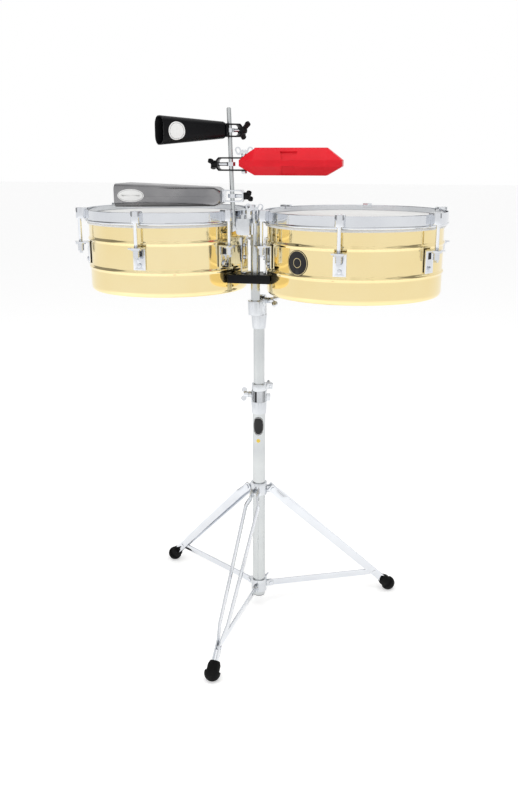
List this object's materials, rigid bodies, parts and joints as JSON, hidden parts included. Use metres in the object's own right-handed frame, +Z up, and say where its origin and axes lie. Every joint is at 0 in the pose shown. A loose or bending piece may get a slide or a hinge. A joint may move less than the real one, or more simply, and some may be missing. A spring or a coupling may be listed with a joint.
{
  "type": "timbales",
  "caption": "Metal-shelled timbales on a height-adjustable folding tripod stand, with a tilter and with cowbells and a plastic block clamped to a slim accessory post.",
  "frame": {"origin": "on the floor, under the middle of the whole object's box", "axes": "+Z up, +X from the smaller left drum to the larger right drum, -Y towards the player side where the accessory post and the front foot are"},
  "size_m": [0.8172, 0.594, 1.17],
  "materials": {
    "tube": "satin",
    "rubber": "matte",
    "cast_metal": "satin",
    "nylon": "matte",
    "chrome": "polished",
    "black_paint": "satin",
    "dark_steel": "satin",
    "brass": "polished",
    "head_film": "matte",
    "black_plastic": "satin",
    "red_plastic": "satin",
    "bell_steel": "brushed"
  },
  "bodies": {
    "stand": {"lower_tube": "tube", "tube_end_plug": "rubber", "height_clamp": "cast_metal", "height_clamp_bush": "nylon", "leg_collar": "cast_metal", "leg_pivot_pins": "chrome"},
    "brace_collar": {"brace_collar": "cast_metal", "brace_pivot_pins": "chrome"},
    "brace_collar_wing_bolt": {"brace_collar_wing_bolt": "chrome"},
    "left_leg": {"left_leg": "chrome", "left_foot": "rubber"},
    "left_brace": {"left_brace": "chrome"},
    "front_leg": {"front_leg": "chrome", "front_foot": "rubber"},
    "front_brace": {"front_brace": "chrome"},
    "right_leg": {"right_leg": "chrome", "right_foot": "rubber"},
    "right_brace": {"right_brace": "chrome"},
    "upper_stand": {"middle_tube": "tube", "memory_lock": "cast_metal", "tilter_base": "cast_metal"},
    "memory_lock_wing_bolt": {"memory_lock_wing_bolt": "chrome"},
    "height_wing_bolt": {"height_wing_bolt": "chrome"},
    "drum_carrier": {"tilter_socket": "cast_metal", "upper_rod": "tube", "crossbar": "black_paint", "crossbar_screws": "dark_steel", "post_clamp": "cast_metal"},
    "tilter_wing_bolt": {"tilter_wing_bolt": "chrome"},
    "left_drum": {"left_shell": "brass", "left_head": "head_film", "left_hoop": "chrome", "left_lugs": "chrome", "left_drum_bolts": "chrome", "left_tension_hooks": "chrome", "left_tension_nuts": "chrome", "left_bracket": "chrome"},
    "right_drum": {"right_shell": "brass", "right_head": "head_film", "right_hoop": "chrome", "right_lugs": "chrome", "right_drum_bolts": "chrome", "right_tension_hooks": "chrome", "right_tension_nuts": "chrome", "right_bracket": "chrome"},
    "post_clamp_wing_bolt": {"post_clamp_wing_bolt": "chrome"},
    "accessory_post": {"accessory_post": "tube"},
    "upper_bell": {"upper_bell": "black_paint", "upper_bell_clamp": "black_paint", "upper_bell_eye_bolt": "chrome"},
    "upper_bell_wing_nut": {"upper_bell_wing_nut": "black_plastic"},
    "jam_block": {"jam_block": "red_plastic", "jam_block_bracket": "black_paint", "jam_block_eye_bolt": "chrome", "jam_block_fixing_bolt": "chrome"},
    "jam_block_wing_nut": {"jam_block_wing_nut": "black_plastic"},
    "lower_bell": {"lower_bell": "bell_steel", "lower_bell_clamp": "chrome", "lower_bell_eye_bolt": "chrome"},
    "lower_bell_wing_nut": {"lower_bell_wing_nut": "black_plastic"}
  },
  "joints": [
    {"name": "tripod_fold", "type": "slide", "parent": "stand", "child": "brace_collar", "axis": [0, 0, 1], "range_m": [0, 0.15282]},
    {"name": "left_leg_fold", "type": "hinge", "parent": "stand", "child": "left_leg", "pos_m": [-0.03009, 0.07752, 0.305], "axis": [-0.5736, -0.8192, 0], "range_deg": [0, 46.92]},
    {"name": "left_brace_fold", "type": "hinge", "parent": "brace_collar", "child": "left_brace", "pos_m": [-0.02845, 0.07637, 0.055], "axis": [-0.5736, -0.8192, 0], "range_deg": [0, 89.43]},
    {"name": "front_leg_fold", "type": "hinge", "parent": "stand", "child": "front_leg", "pos_m": [-0.00667, 0.02729, 0.305], "axis": [0.9962, -0.0872, 0], "range_deg": [0, 46.92]},
    {"name": "front_brace_fold", "type": "hinge", "parent": "brace_collar", "child": "front_brace", "pos_m": [-0.00649, 0.02928, 0.055], "axis": [0.9962, -0.0872, 0], "range_deg": [0, 89.43]},
    {"name": "right_leg_fold", "type": "hinge", "parent": "stand", "child": "right_leg", "pos_m": [0.02512, 0.07269, 0.305], "axis": [-0.4226, 0.9063, 0], "range_deg": [0, 46.92]},
    {"name": "right_brace_fold", "type": "hinge", "parent": "brace_collar", "child": "right_brace", "pos_m": [0.02331, 0.07185, 0.055], "axis": [-0.4226, 0.9063, 0], "range_deg": [0, 89.43]},
    {"name": "brace_collar_wing_bolt_turn", "type": "hinge", "parent": "brace_collar", "child": "brace_collar_wing_bolt", "pos_m": [0.00169, 0.09878, 0.055], "axis": [0.1392, 0.9903, 0], "continuous": true},
    {"name": "height_slide", "type": "slide", "parent": "stand", "child": "upper_stand", "axis": [0, 0, 1], "range_m": [0, 0.12]},
    {"name": "height_wing_bolt_turn", "type": "hinge", "parent": "stand", "child": "height_wing_bolt", "pos_m": [-0.03388, 0.05917, 0.54], "axis": [-1, 0, 0], "continuous": true},
    {"name": "memory_lock_wing_bolt_turn", "type": "hinge", "parent": "upper_stand", "child": "memory_lock_wing_bolt", "pos_m": [0.01346, 0.07973, 0.5595], "axis": [-0.5736, 0.8192, 0], "continuous": true},
    {"name": "tilt", "type": "hinge", "parent": "upper_stand", "child": "drum_carrier", "pos_m": [-0.00388, 0.05917, 0.762], "axis": [1, 0, 0], "range_deg": [-20, 12]},
    {"name": "tilter_wing_bolt_turn", "type": "hinge", "parent": "upper_stand", "child": "tilter_wing_bolt", "pos_m": [0.02112, 0.05917, 0.762], "axis": [1, 0, 0], "continuous": true},
    {"name": "left_drum_lift", "type": "slide", "parent": "drum_carrier", "child": "left_drum", "axis": [0, 0, 1], "range_m": [0, 0.004]},
    {"name": "right_drum_lift", "type": "slide", "parent": "drum_carrier", "child": "right_drum", "axis": [0, 0, 1], "range_m": [0, 0.05]},
    {"name": "post_clamp_wing_bolt_turn", "type": "hinge", "parent": "drum_carrier", "child": "post_clamp_wing_bolt", "pos_m": [-0.00188, 0.00217, 0.96], "axis": [0, 0, 1], "continuous": true},
    {"name": "accessory_post_swivel", "type": "hinge", "parent": "drum_carrier", "child": "accessory_post", "pos_m": [-0.04288, -0.01583, 0.926], "axis": [-0.0349, 0, 0.9994], "range_deg": [-20, 20]},
    {"name": "upper_bell_swivel", "type": "hinge", "parent": "accessory_post", "child": "upper_bell", "pos_m": [-0.04983, -0.01583, 1.125], "axis": [-0.0349, 0, 0.9994], "range_deg": [-40, 40]},
    {"name": "jam_block_swivel", "type": "hinge", "parent": "accessory_post", "child": "jam_block", "pos_m": [-0.04756, -0.01583, 1.06], "axis": [-0.0349, 0, 0.9994], "range_deg": [-40, 40]},
    {"name": "lower_bell_swivel", "type": "hinge", "parent": "accessory_post", "child": "lower_bell", "pos_m": [-0.04523, -0.01583, 0.9933], "axis": [-0.0349, 0, 0.9994], "range_deg": [-25, 25]},
    {"name": "upper_bell_wing_nut_turn", "type": "hinge", "parent": "upper_bell", "child": "upper_bell_wing_nut", "pos_m": [-0.02753, 0.00424, 1.125], "axis": [0.7431, 0.6691, 0], "continuous": true},
    {"name": "jam_block_wing_nut_turn", "type": "hinge", "parent": "jam_block", "child": "jam_block_wing_nut", "pos_m": [-0.08148, -0.01583, 1.0578], "axis": [-1, 0, 0], "continuous": true},
    {"name": "lower_bell_wing_nut_turn", "type": "hinge", "parent": "lower_bell", "child": "lower_bell_wing_nut", "pos_m": [-0.01523, -0.01583, 0.9933], "axis": [1, 0, 0], "continuous": true}
  ],
  "couplings": [
    {"joint": "left_leg_fold", "follows": "tripod_fold", "rad_per_m": 5.3526},
    {"joint": "left_brace_fold", "follows": "tripod_fold", "rad_per_m": 10.208},
    {"joint": "front_leg_fold", "follows": "tripod_fold", "rad_per_m": 5.3526},
    {"joint": "front_brace_fold", "follows": "tripod_fold", "rad_per_m": 10.208},
    {"joint": "right_leg_fold", "follows": "tripod_fold", "rad_per_m": 5.3526},
    {"joint": "right_brace_fold", "follows": "tripod_fold", "rad_per_m": 10.208}
  ]
}
